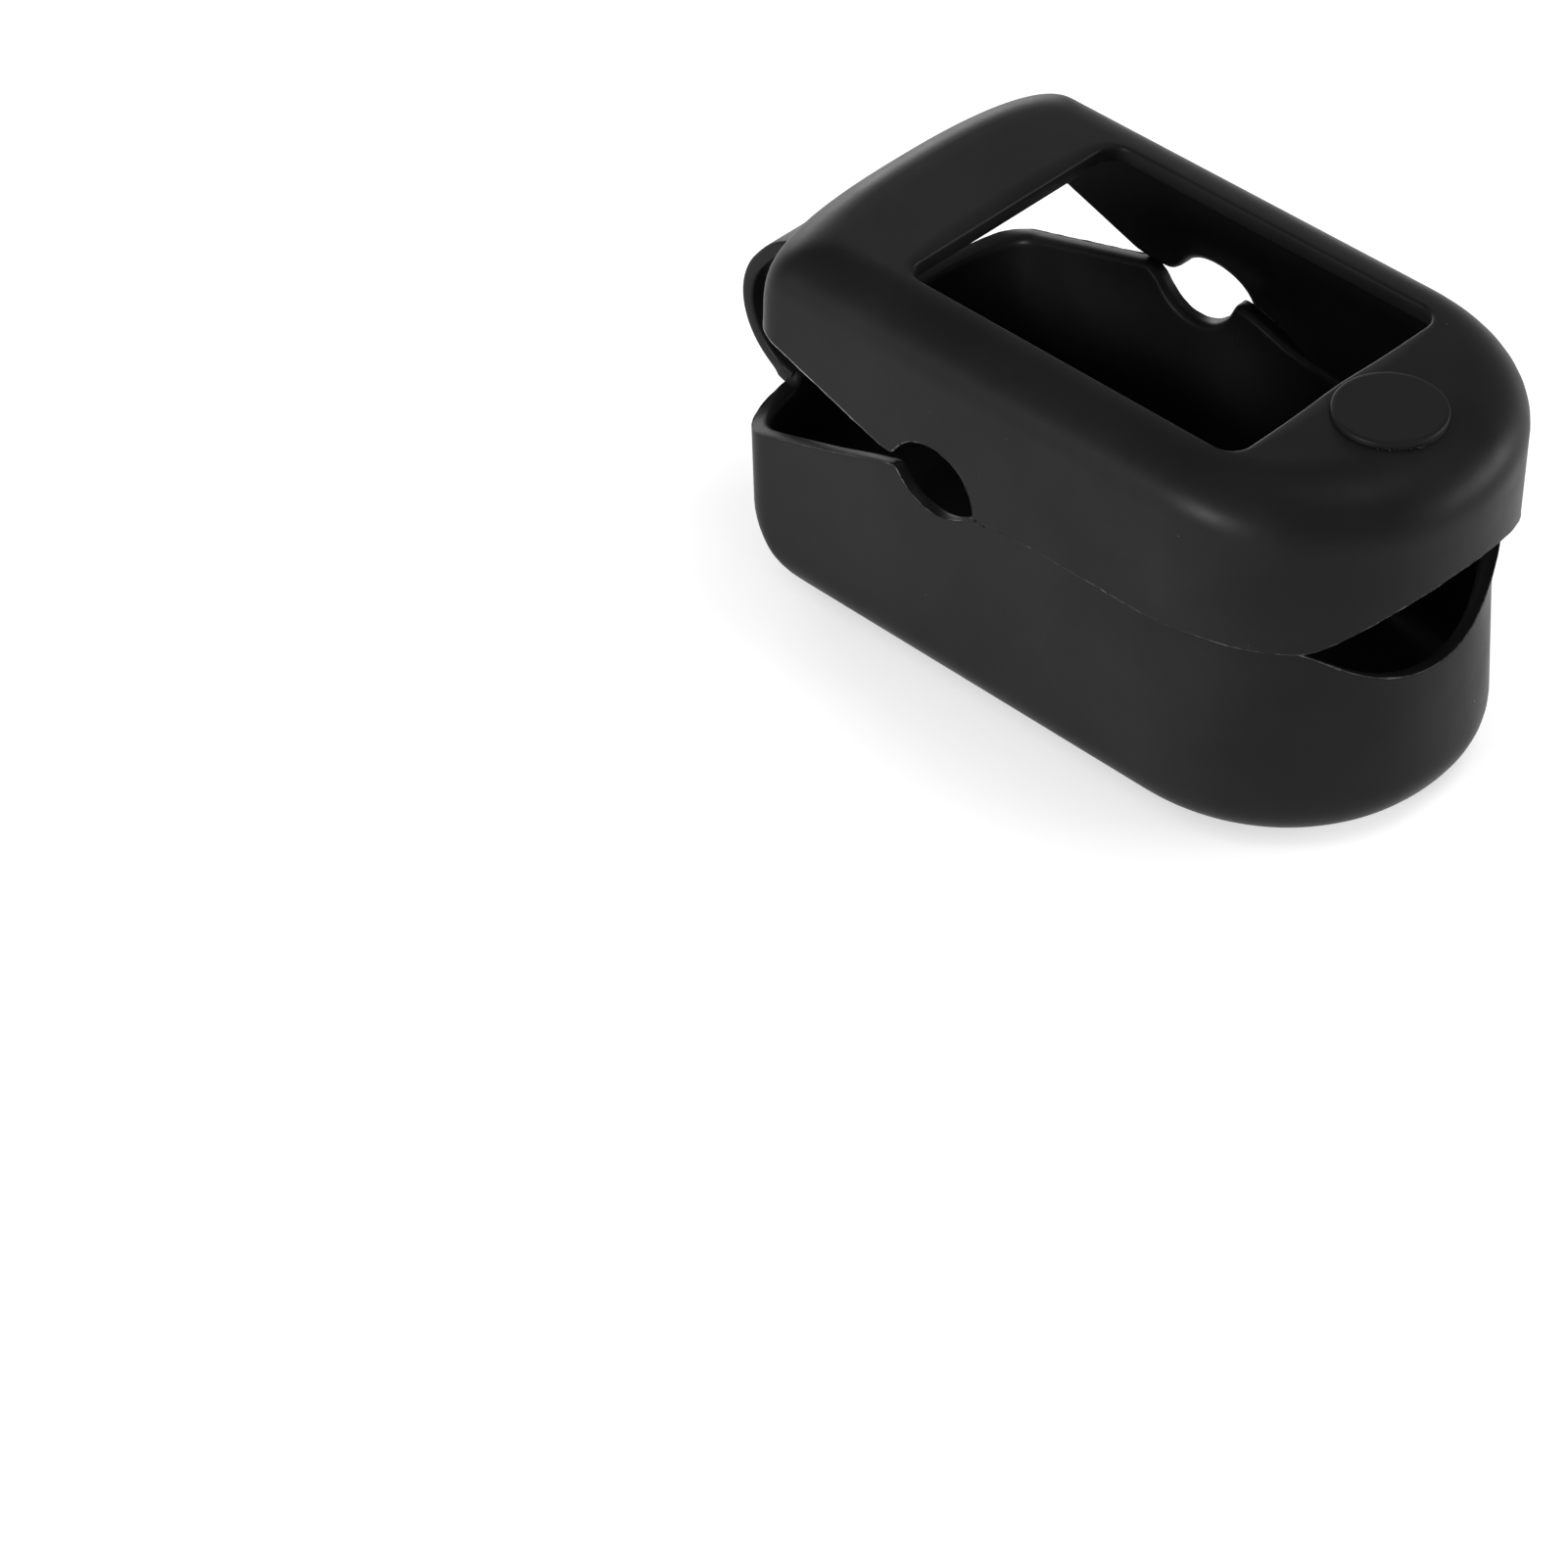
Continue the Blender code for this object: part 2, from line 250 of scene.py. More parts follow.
LOWER = Tray(
    -31.0, 30.7, 16.5, 16.9, 5.0, 1.0, -4.9, 1.4, 3.2, (5.2, 4.6), (7.6, 6.7), REFERENCE_Z, False, 6.7
)
UPPER = Tray(
    -29.1, 32.7, 17.1, 16.6, 5.0, 0.9, -0.3, 0.3, 4.2, (6.2, 4.6), (5.1, 6.7),
    TOP_Z - REFERENCE_Z, True, 6.7,
)


# Small mathematics


def smooth_step(value, low, high):
    """0 below low, 1 above high and a smooth turn between them."""
    share = np.clip((value - low) / (high - low), 0, 1)
    return share * share * (3 - 2 * share)


def soft_minimum(first, second, blend):
    """The lower of two heights, with the corner between them rounded."""
    near = np.maximum(blend - np.abs(first - second), 0) / blend
    return np.minimum(first, second) - near * near * blend / 4


def distances(points):
    """Distance of each point along a line."""
    steps = np.linalg.norm(np.diff(points, axis=0), axis=1)
    return np.concatenate([[0], np.cumsum(steps)])


def soften(points, width):
    """A line with its corners rounded, by averaging along it."""
    points = np.array(points, float)
    run = distances(points)
    marks = np.linspace(0, run[-1], int(run[-1] / LINE_STEP) + 1)
    line = [np.interp(marks, run, points[:, k]) for k in range(2)]
    reach = int(3 * width / LINE_STEP)
    kernel = np.exp(-0.5 * (np.arange(-reach, reach + 1) * LINE_STEP / width) ** 2)
    kernel /= kernel.sum()
    padded = [np.pad(part, reach, mode="reflect", reflect_type="odd") for part in line]
    return np.column_stack([np.convolve(part, kernel, "valid") for part in padded])


def spread(run, weight, count):
    """Places along a run, closer together where the weight is high."""
    total = np.concatenate([[0], np.cumsum(np.diff(run) * (weight[1:] + weight[:-1]) / 2)])
    return np.interp(np.linspace(0, total[-1], count), total, run)


def arc(x, z, radius, first, last, count=40):
    """Points on an arc in the side view, from +X towards +Z."""
    turns = np.radians(np.linspace(first, last, count))
    return [(x + radius * cos(turn), z + radius * sin(turn)) for turn in turns]


# Rims


class Rim:
    """Side view of a rim: a smooth line with its normal into the wall, from rear to front."""

    def __init__(self, points, upside_down):
        self.line = soften(points, CORNER_SOFTNESS)
        self.run = distances(self.line)
        tangent = np.gradient(self.line, self.run, axis=0)
        tangent /= np.linalg.norm(tangent, axis=1)[:, None]
        into = 1 if upside_down else -1
        self.normal = np.column_stack([-tangent[:, 1], tangent[:, 0]]) * into
        turn = np.unwrap(np.arctan2(tangent[:, 1], tangent[:, 0]))
        self.curvature = np.abs(np.gradient(turn, self.run))

    def run_at(self, x):
        """Distance along the line where it reaches X."""
        return np.interp(x, np.maximum.accumulate(self.line[:, 0]), self.run)

    def height_at(self, x):
        """Height of the line at X."""
        return np.interp(x, np.maximum.accumulate(self.line[:, 0]), self.line[:, 1])

    def at(self, run, depth):
        """Side-view points that lie a little way into the wall."""
        found = [np.interp(run, self.run, part) for part in (*self.line.T, *self.normal.T)]
        return found[0] + depth * found[2], found[1] + depth * found[3]


def lower_rim():
    """Rim of the lower tray: V opening at the rear, round notch, level seam."""
    rear = [(-BEYOND, 14.1), (-28.6, 14.1), (-26, 14.95), (-23, 15.85), (-18.5, 17.3), (-14, 19.0)]
    notch = arc(-7.0, 21.95, 4.8, -154, -39)
    front = [(-2.6, 18.95), (0, 19.6), (2.5, 19.87), (14, 19.87), (22, 19.65), (BEYOND, 19.65)]
    return Rim(rear + notch + front, False)


def lower_far_rim():
    """Rim of the lower tray on the far side, which sits higher and goes up inside the upper tray."""
    rear = [(-BEYOND, 17.5), (-28.6, 17.5), (-27.7, 17.67), (-13.1, 21.95)]
    notch = arc(-8.0, 22.85, 4.1, -152, -12)
    front = [(-3.7, 22.45), (-2.2, 22.3), (2.0, 21.0), (8.0, 20.3), (15, 19.87), (22, 19.65)]
    front.append((BEYOND, 19.65))
    return Rim(rear + notch + front, False)


def upper_rim():
    """Rim of the upper tray."""
    rear = [(-BEYOND, 26.8), (-28.6, 26.7), (-25.0, 25.5), (-13, 21.6)]
    notch = arc(-7.05, 19.6, 4.5, 158, -3)
    return Rim(rear + notch + UPPER_SEAM, True)


def upper_far_rim():
    """Rim of the upper tray on the far side, with a sharper point behind the notch."""
    rear = [(-BEYOND, 26.8), (-28.6, 26.7), (-25.0, 25.5), (-11.75, 21.05)]
    notch = arc(-6.95, 19.6, 4.5, 151, -3)
    return Rim(rear + notch + UPPER_SEAM, True)


def lower_end_height(rim, x, y):
    """Height of the lower rim round the ends, with the finger scoop and the strap ears."""
    height = rim.height_at(x)
    if x.mean() > 0:
        reach = np.sqrt(np.maximum(LOWER_SCOOP_R**2 - y * y, 0))
        return soft_minimum(height, LOWER_SCOOP_Z + LOWER_SCOOP_R - reach, LOWER_SCOOP_BLEND)
    ears = np.full_like(y, EAR_STEPS[0][1])
    for place, before, after in EAR_STEPS:
        turn = smooth_step(np.abs(y), place - EAR_SOFTNESS, place + EAR_SOFTNESS)
        ears = ears + (after - before) * turn
    outside = smooth_step(np.abs(y), EAR_STEPS[-1][0], EAR_STEPS[-1][0] + EAR_BLEND)
    return ears * (1 - outside) + height * outside


def lower_far_end_height(rim, x, y):
    """The same for the far side, where the rear rim climbs from the ear to the corner."""
    if x.mean() > 0:
        return lower_end_height(rim, x, y)
    place, low, high = EAR_STEPS[0]
    ears = low + (high - low) * smooth_step(np.abs(y), place - EAR_SOFTNESS, place + EAR_SOFTNESS)
    ears = ears + FAR_CLIMB * np.maximum(np.abs(y) - EAR_STEPS[1][0], 0)
    corner = smooth_step(np.abs(y), *FAR_CORNER)
    return ears * (1 - corner) + rim.height_at(x) * corner


def upper_end_height(rim, x, y):
    """Height of the upper rim round the ends, with the arch over the finger."""
    height = rim.height_at(x)
    if x.mean() > 0:
        reach = np.sqrt(np.maximum(UPPER_SCOOP_R**2 - y * y, 0))
        arch = UPPER_SCOOP_Z - UPPER_SCOOP_R + reach
        return -soft_minimum(-height, -arch, UPPER_SCOOP_BLEND)
    return height


# Skins of the trays


class Skin:
    """Draws one half of each ring of a tray, on +Y, from the front tip round to the rear tip."""

    def __init__(self, tray, rim, end_height, rear_details, bulge=0.0, flare=0.0):
        self.tray = tray
        self.rim = rim
        self.end_height = end_height
        self.bulge = bulge
        self.flare = flare
        self.front = self.cap_angles(tray.front_cap, FRONT_ROUND, FRONT_COLUMNS, (SCOOP_DETAIL,))
        self.rear = self.cap_angles(tray.rear_cap, REAR_ROUND, REAR_COLUMNS, rear_details)[::-1]
        depth = tray.rise(REFERENCE_Z)
        self.run_ends = self.side_ends(depth, 0.0)
        self.runs = self.side_runs()
        x = self.rim.at(self.runs, 0.0)[0]
        share = (x - x[0]) / (x[-1] - x[0])
        even = np.linspace(0, 1, len(share))
        self.share = 0.5 * share + 0.5 * even

    def cap_angles(self, length, exponent, count, details):
        """Angles of the columns round one quarter of an end, from the tip to the side."""
        angles = np.linspace(0, pi / 2, 2000)
        x = length * np.cos(angles) ** (2 / exponent)
        y = self.tray.half_width * np.sin(angles) ** (2 / exponent)
        run = distances(np.column_stack([x, y]))
        weight = np.ones_like(run)
        for place in details:
            weight += DETAIL_WEIGHT * np.exp(-(((y - place) / DETAIL_WIDTH) ** 2))
        return np.interp(spread(run, weight, count), run, angles)

    def side_ends(self, rise, inset):
        """Distances along the rim where the straight side starts and ends, front then rear."""
        plan = self.plan(rise, inset, 0.0)
        return [float(self.rim.run_at(x)) for x in (plan[1] - plan[3], plan[2] + plan[4])]

    def side_runs(self):
        """Places of the side columns along the rim, closer together at its corners."""
        low, high = self.run_ends[1], self.run_ends[0]
        inside = (self.rim.run > low) & (self.rim.run < high)
        run = np.concatenate([[low], self.rim.run[inside], [high]])
        curvature = np.interp(run, self.rim.run, self.rim.curvature)
        return spread(run, 1 + CURVE_WEIGHT * curvature, SIDE_COLUMNS + 2)[::-1]

    def plan(self, rise, inset, floor):
        """Half width, front and rear faces and lengths of both round ends at a height."""
        tray = self.tray
        below = tray.depth - rise
        lift = rise - floor
        fillets = []
        for run, height in ((tray.side_fillet,) * 2, tray.front_fillet, tray.rear_fillet):
            share = np.clip(1 - lift / (height - inset), 0, 1)
            fillets.append((run - inset) * (1 - np.sqrt(1 - share * share)))
        side, end, back = fillets
        half = tray.half_width - below * np.tan(radians(tray.side_draft)) - inset - side
        front = tray.front - below * np.tan(radians(tray.front_draft)) - inset - end
        rear = tray.rear + below * np.tan(radians(tray.rear_draft)) + inset + back
        scale = half / tray.half_width
        return half, front, rear, tray.front_cap * scale, tray.rear_cap * scale

    def half_ring(self, heights, inset, floor, side_x=None):
        """Points of one half of a ring; heights are those of the front, side and rear."""
        front_rise, side_rise, rear_rise = (self.tray.rise(height) for height in heights)
        half, front, _, cap, _ = self.plan(front_rise, inset, floor)
        front_x = front - cap + cap * np.cos(self.front) ** (2 / FRONT_ROUND)
        front_y = half * np.sin(self.front) ** (2 / FRONT_ROUND)
        half, front, rear, front_cap, rear_cap = self.plan(side_rise, inset, floor)
        side_y = half * np.ones(SIDE_COLUMNS)
        if side_x is None:
            first, last = front - front_cap, rear + rear_cap
            side_x = first + (last - first) * self.share[1:-1]
        half, _, rear, _, cap = self.plan(rear_rise, inset, floor)
        rear_x = rear + cap - cap * np.cos(self.rear) ** (2 / REAR_ROUND)
        rear_y = half * np.sin(self.rear) ** (2 / REAR_ROUND)
        x = np.concatenate([front_x, side_x, rear_x])
        y = np.concatenate([front_y, side_y, rear_y])
        parts = (FRONT_COLUMNS, SIDE_COLUMNS, REAR_COLUMNS)
        z = np.concatenate([height * np.ones(n) for height, n in zip(heights, parts)])
        along = smooth_step(x, *BULGE_X[:2]) * (1 - smooth_step(x, *BULGE_X[2:]))
        y = y + self.bulge * along * (1 - smooth_step(z, *BULGE_Z))
        flare = self.flare * smooth_step(z, *FLARE_Z)
        flare = flare * smooth_step(x, *FLARE_X) * smooth_step(y, *FLARE_Y)
        return np.column_stack([x + flare * cos(pi / 4), y + flare * sin(pi / 4), z])

    def level_ring(self, rise, inset=0.0, floor=0.0):
        """A ring at one height above the closed face."""
        return self.half_ring([self.tray.z(rise)] * 3, inset, floor)

    def rim_heights(self, inset, floor):
        """Rim heights of the front and rear columns, and how much longer the slope makes them."""
        found = []
        for end in (0, 2):
            height = np.full((FRONT_COLUMNS, SIDE_COLUMNS, REAR_COLUMNS)[end], REFERENCE_Z)
            for _ in range(4):
                heights = [REFERENCE_Z] * 3
                heights[end] = height
                ring = self.half_ring(heights, inset, floor)
                points = ring[:FRONT_COLUMNS] if end == 0 else ring[-REAR_COLUMNS:]
                height = self.end_height(self.rim, points[:, 0], points[:, 1])
            slope = np.gradient(height, distances(points[:, :2]))
            found.append((height, np.sqrt(1 + slope * slope)))
        return found

    def rim_ring(self, depth, inset, floor):
        """A ring that follows the rim, a little way into the wall."""
        (front, front_slant), (rear, rear_slant) = self.rim_heights(inset, floor)
        into = 1 if self.tray.upside_down else -1
        rise = self.tray.rise(self.rim.at(self.runs[[0, -1]], 0.0)[1])
        targets = []
        for end, x_of in ((0, lambda p: p[1] - p[3]), (1, lambda p: p[2] + p[4])):
            targets.append(float(self.rim.run_at(x_of(self.plan(rise[end], inset, floor)))))
        near_front = 1 - smooth_step(self.runs[0] - self.runs, 0.0, END_BLEND)
        near_rear = 1 - smooth_step(self.runs - self.runs[-1], 0.0, END_BLEND)
        runs = self.runs + near_front * (targets[0] - self.runs[0])
        runs = runs + near_rear * (targets[1] - self.runs[-1])
        side_x, side_z = self.rim.at(runs[1:-1], depth)
        heights = [front + into * depth * front_slant, side_z, rear + into * depth * rear_slant]
        return self.half_ring(heights, inset, floor, side_x)

    def wall_rings(self, inset, floor, top_depth):
        """Rings of the straight wall between the fillet and the rim's edge."""
        base = self.level_ring(self.tray.fillet_top, inset, floor)
        top = self.rim_ring(top_depth, inset, floor)
        first, last = FRONT_COLUMNS, FRONT_COLUMNS + SIDE_COLUMNS
        rings = []
        for share in np.linspace(0, 1, WALL_RINGS + 1)[1:-1]:
            mix = base + (top - base) * share
            heights = [mix[:first, 2], mix[first:last, 2], mix[last:, 2]]
            rings.append(self.half_ring(heights, inset, floor, mix[first:last, 0]))
        return rings

    def fillet_rings(self, inset, floor):
        """Rings from the closed face round its fillet to the straight wall."""
        turns = np.radians(np.linspace(0, 90, FILLET_RINGS + 1))
        tall = self.tray.fillet_top - floor
        return [self.level_ring(floor + tall * (1 - cos(turn)), inset, floor) for turn in turns]

    def rim_rings(self):
        """Rings across the rim, from the outer wall to the inner one, with rounded edges."""
        edges = []
        for radius in (EDGE_R, INNER_EDGE_R):
            edge = [(EDGE_SUPPORT + radius - EDGE_R, 0.0)]
            for turn in np.radians(EDGE_TURNS):
                edge.append((radius * (1 - sin(turn)), radius * (1 - cos(turn))))
            edges.append(edge)
        outer, inner = edges
        across = outer + [(0.0, EDGE_SUPPORT)] + [(depth, WALL - inset) for depth, inset in inner[::-1]]
        return [self.rim_ring(depth, inset, PLATE * (inset / WALL)) for depth, inset in across]

    def wall_and_rim(self):
        """Rings from the outer closed face, over the rim, to the inner closed face."""
        outside = self.fillet_rings(0.0, 0.0) + self.wall_rings(0.0, 0.0, EDGE_SUPPORT)
        inner_depth = EDGE_SUPPORT + INNER_EDGE_R - EDGE_R
        inside = self.fillet_rings(WALL, PLATE) + self.wall_rings(WALL, PLATE, inner_depth)
        return outside + self.rim_rings() + inside[::-1]


def closing_rings(ring):
    """Rings that close a flat face: they shrink onto its centre line."""
    middle = np.array([ring[:, 0].mean(), 0.0, 0.0])
    rings = []
    for share in np.linspace(1, 0, FLOOR_RINGS + 1)[1:]:
        scale = np.array([0.5 + 0.5 * share, share, 0.0])
        moved = (ring - middle) * scale + middle
        moved[:, 2] = ring[:, 2]
        rings.append(moved)
    return rings


def window_half_ring(top, grow, z):
    """The window's outline, a little larger, with a point for each column of the top ring."""
    front, rear, half = WINDOW_FRONT + grow, WINDOW_REAR - grow, WINDOW_HALF + grow
    corner = WINDOW_CORNER + grow
    run = distances(top[:, :2])
    turn_front, turn_rear = WINDOW_TURN_X
    side = slice(FRONT_COLUMNS, FRONT_COLUMNS + SIDE_COLUMNS)
    starts = [np.interp(-x, -top[side, 0], run[side]) for x in (turn_front, turn_rear)]
    x, y = top[:, 0].copy(), np.full(len(top), half)
    ends = (
        (run < starts[0], 1 - run / starts[0], turn_front, front, 1),
        (run > starts[1], (run - starts[1]) / (run[-1] - starts[1]), turn_rear, rear, -1),
    )
    for chosen, share, start, face, way in ends:
        straight = abs(face - start) - corner
        length = straight + pi / 2 * corner + half - corner
        gone = share * length
        angle = np.clip((gone - straight) / corner, 0, pi / 2)
        end_x = start + way * (np.minimum(gone, straight) + corner * np.sin(angle))
        past = np.maximum(gone - straight - pi / 2 * corner, 0)
        end_y = half - corner * (1 - np.cos(angle)) - past
        x = np.where(chosen, end_x, x)
        y = np.where(chosen, end_y, y)
    at_front = x > front - 0.5 * corner
    x = x - np.where(at_front, WINDOW_BOW * np.exp(-((y / WINDOW_BOW_WIDTH) ** 2)), 0)
    y[0], y[-1] = 0.0, 0.0
    return np.column_stack([x, y, np.full(len(x), z)])


def window_rings(outer_top, inner_top):
    """Rings from the inner closed face, through the window, to the outer one."""
    low, high = TOP_Z - PLATE, TOP_Z
    edges = [(WINDOW_EDGE, low)]
    small = WINDOW_EDGE / 2
    for turn in np.radians(WINDOW_TURNS):
        edges.append((small * (1 - sin(turn)), low + small * (1 - cos(turn))))
    edges.append((0.0, (low + high) / 2))
    for turn in np.radians(WINDOW_TURNS[::-1]):
        edges.append((WINDOW_EDGE * (1 - sin(turn)), high - WINDOW_EDGE * (1 - cos(turn))))
    inside = [window_half_ring(inner_top, grow, z) for grow, z in edges[:6]]
    outside = [window_half_ring(outer_top, grow, z) for grow, z in edges[6:]]
    between_in = [inner_top + (inside[0] - inner_top) * f for f in np.linspace(0, 1, PLATE_RINGS)[1:-1]]
    between_out = [
        outside[-1] + (outer_top - outside[-1]) * f for f in np.linspace(0, 1, PLATE_RINGS)[1:-1]
    ]
    return between_in + inside + outside + between_out


def joined(far, near):
    """The whole ring of a far half and a near half, which is drawn as a far one and mirrored."""
    return np.vstack([far, near[-2:0:-1] * np.array([1, -1, 1])])


def add_mesh(name, work):
    """Make an object from a bmesh in millimetres, with its faces pointing out."""
    bmesh.ops.scale(work, vec=(MM, MM, MM), verts=work.verts)
    bmesh.ops.recalc_face_normals(work, faces=work.faces)
    mesh = bpy.data.meshes.new(name)
    work.to_mesh(mesh)
    work.free()
    mesh.shade_smooth()
    made = bpy.data.objects.new(name, mesh)
    bpy.context.scene.collection.objects.link(made)
    return made


def bridge_rings(work, rings, closed):
    """Quads between rings of equal length."""
    loops = [[work.verts.new(point) for point in ring] for ring in rings]
    pairs = list(zip(loops, loops[1:]))
    if closed:
        pairs.append((loops[-1], loops[0]))
    for first, second in pairs:
        for i in range(len(first)):
            j = (i + 1) % len(first)
            work.faces.new((first[i], first[j], second[j], second[i]))
    return loops


def make_bead(name, far, near):
    """The hair-thin line of moulding flash along a rim's outer edge, a little uneven."""
    inset = EDGE_R * BEAD_INSET
    ring = joined(*[skin.rim_ring(inset, inset, 0.0) for skin in (far, near)])
    run = distances(ring)
    wave = np.sin(1.7 * run) * np.sin(0.53 * run + 1.0) + 0.5 * np.sin(4.1 * run + 2.0)
    radii = BEAD_R * (1 + BEAD_UNEVEN * wave)
    ahead = np.roll(ring, -1, axis=0) - np.roll(ring, 1, axis=0)
    ahead /= np.linalg.norm(ahead, axis=1)[:, None]
    out = np.cross(ahead, (0.0, 0.0, 1.0))
    out /= np.linalg.norm(out, axis=1)[:, None]
    rise = np.cross(out, ahead)
    turns = [2 * pi * i / BEAD_SIDES for i in range(BEAD_SIDES)]
    sides = [ring + radii[:, None] * (cos(turn) * out + sin(turn) * rise) for turn in turns]
    work = bmesh.new()
    bridge_rings(work, np.stack(sides, axis=1), True)
    return add_mesh(name, work)


def make_crumbs():
    """Crumbs of moulding flash by the pad's near edge and at the front end of the near notch."""
    chance = np.random.default_rng(CRUMB_SEED)
    places = []
    for turn in np.radians(chance.uniform(*PAD_CRUMB_ANGLES, PAD_CRUMBS)):
        reach = PAD_R + chance.uniform(0.0, PAD_CRUMB_REACH)
        places.append((PAD_X + reach * cos(turn), reach * sin(turn), TOP_Z))
    for x in chance.uniform(*NOTCH_CRUMB_X, NOTCH_CRUMBS):
        places.append((x, -UPPER.half_width, chance.uniform(*NOTCH_CRUMB_Z)))
    work = bmesh.new()
    for place in places:
        turn = Matrix.Rotation(chance.uniform(0, pi), 4, Vector(chance.uniform(-1, 1, 3)))
        shape = Matrix.Translation(place) @ turn @ Matrix.Diagonal(CRUMB_SHAPE)
        radius = chance.uniform(*CRUMB_R)
        bmesh.ops.create_icosphere(work, subdivisions=2, radius=radius, matrix=shape)
    return add_mesh("flash_crumbs_skin", work)


def make_lower():
    """The lower tray, one closed skin."""
    details = [step[0] for step in EAR_STEPS]
    near = Skin(LOWER, lower_rim(), lower_end_height, details)
    far = Skin(LOWER, lower_far_rim(), lower_far_end_height, details, flare=FLARE)
    far.share = near.share
    halves = []
    for skin in (far, near):
        body = skin.wall_and_rim()
        halves.append(closing_rings(body[0])[::-1] + body + closing_rings(body[-1]))
    work = bmesh.new()
    bridge_rings(work, [joined(*pair) for pair in zip(*halves)], False)
    bmesh.ops.remove_doubles(work, verts=work.verts, dist=1e-5)
    return add_mesh("lower_tray_skin", work), make_bead("lower_flash_skin", far, near)


def make_upper():
    """The upper tray, one closed skin with the window through it and a hole for the pad."""
    halves = []
    far = Skin(UPPER, upper_far_rim(), upper_end_height, (), BULGE)
    near = Skin(UPPER, upper_rim(), upper_end_height, ())
    far.share = near.share
    for skin in (far, near):
        body = skin.wall_and_rim()
        halves.append(body + window_rings(body[0], body[-1]))
    work = bmesh.new()
    bridge_rings(work, [joined(*pair) for pair in zip(*halves)], True)
    upper = add_mesh("upper_tray_skin", work)
    cut_pad_hole(upper)
    return upper, make_bead("upper_flash_skin", far, near)


def circle(radius, z, count=96):
    """A level ring round the pad's centre."""
    turns = [2 * pi * i / count for i in range(count)]
    return [(PAD_X + radius * cos(turn), radius * sin(turn), z) for turn in turns]


def turned(work, profile):
    """A closed round solid from a profile of radius and height."""
    loops = bridge_rings(work, [circle(radius, z) for radius, z in profile], False)
    work.faces.new(loops[0])
    work.faces.new(loops[-1])


def cut_pad_hole(upper):
    """Cut the round hole that the pad slides in."""
    work = bmesh.new()
    radius = PAD_R + PAD_HOLE_CLEARANCE
    turned(work, [(radius, TOP_Z - 2 * PLATE), (radius, TOP_Z + 2 * PLATE)])
    cutter = add_mesh("pad_hole_tool", work)
    step = upper.modifiers.new("pad_hole", "BOOLEAN")
    step.operation = "DIFFERENCE"
    step.solver = "EXACT"
    step.object = cutter
    graph = bpy.context.evaluated_depsgraph_get()
    cut = bpy.data.meshes.new_from_object(upper.evaluated_get(graph))
    upper.modifiers.clear()
    upper.data = cut
    cut.set_sharp_from_angle(angle=radians(SHARP_ANGLE))
    bpy.data.objects.remove(cutter)


def make_pad():
    """The raised pad, a plug through the top plate with softened edges."""
    low, high = TOP_Z - PLATE - PAD_INNER_PROUD, PAD_TOP
    profile = [(PAD_R * share, low) for share in (0.25, 0.5, 0.75)]
    for turn in np.radians(PAD_TURNS):
        profile.append((PAD_R - PAD_EDGE * (1 - sin(turn)), low + PAD_EDGE * (1 - cos(turn))))
    for share in (0.25, 0.5, 0.75):
        profile.append((PAD_R, low + PAD_EDGE + (high - low - 2 * PAD_EDGE) * share))
    for turn in np.radians(PAD_TURNS[::-1]):
        profile.append((PAD_R - PAD_EDGE * (1 - sin(turn)), high - PAD_EDGE * (1 - cos(turn))))
    profile += [(PAD_R * share, high) for share in (0.9, 0.75, 0.5, 0.25)]
    work = bmesh.new()
    turned(work, profile)
    return add_mesh("button_pad_skin", work)


# Straps


def strap_point(angle, offset=0.0):
    """Side-view point of the closed strap's arc."""
    reach = STRAP_R + offset + STRAP_SPREAD * float(smooth_step(angle, *STRAP_SPREAD_ANGLES))
    turn = radians(angle)
    return (STRAP_X - reach * cos(turn), STRAP_Z + reach * sin(turn))


def strap_section(angle, side):
    """Points round the strap at an angle, with rounded edges and a flare at its roots."""
    from_root = min(angle - STRAP_ROOTS[0], STRAP_ROOTS[1] - angle)
    flare = ROOT_FLARE * np.exp(-max(from_root, 0.0) / ROOT_FLARE_ANGLE)
    half_thick = STRAP_THICK / 2 + flare * ROOT_THICKER
    middle = (STRAP_NEAR + STRAP_FAR) / 2
    half_wide = (STRAP_FAR - STRAP_NEAR) / 2 + flare * ROOT_WIDER
    points = []
    for corner in range(4):
        across = (1, -1, -1, 1)[corner] * (half_wide - STRAP_EDGE)
        out = (1, 1, -1, -1)[corner] * (half_thick - STRAP_EDGE)
        for step in range(STRAP_EDGE_STEPS + 1):
            turn = pi / 2 * (corner + step / STRAP_EDGE_STEPS)
            y = middle + across + STRAP_EDGE * cos(turn)
            x, z = strap_point(angle, out + STRAP_EDGE * sin(turn))
            points.append((x, side * y, z))
    return points


def make_strap(label, side):
    """The pieces of one strap; each reaches across one joint, and the last also covers its root."""
    made = []
    for index in range(len(STRAP_BENDS)):
        first, last = STRAP_SEAMS[index], STRAP_SEAMS[index + 1] + STRAP_OVERLAP
        count = int((last - first) / STRAP_STEP) + 2
        work = bmesh.new()
        sections = [strap_section(angle, side) for angle in np.linspace(first, last, count)]
        loops = bridge_rings(work, sections, False)
        for cap in (work.faces.new(loops[0]), work.faces.new(loops[-1])):
            for edge in cap.edges:
                edge.smooth = False
        piece = add_mesh(f"strap_{label}_skin_{index + 1}", work)
        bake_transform(piece)
        if index < 4:
            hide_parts(f"strap_{label}_{index + 1}")
        made.append(piece)
    return made


# Materials


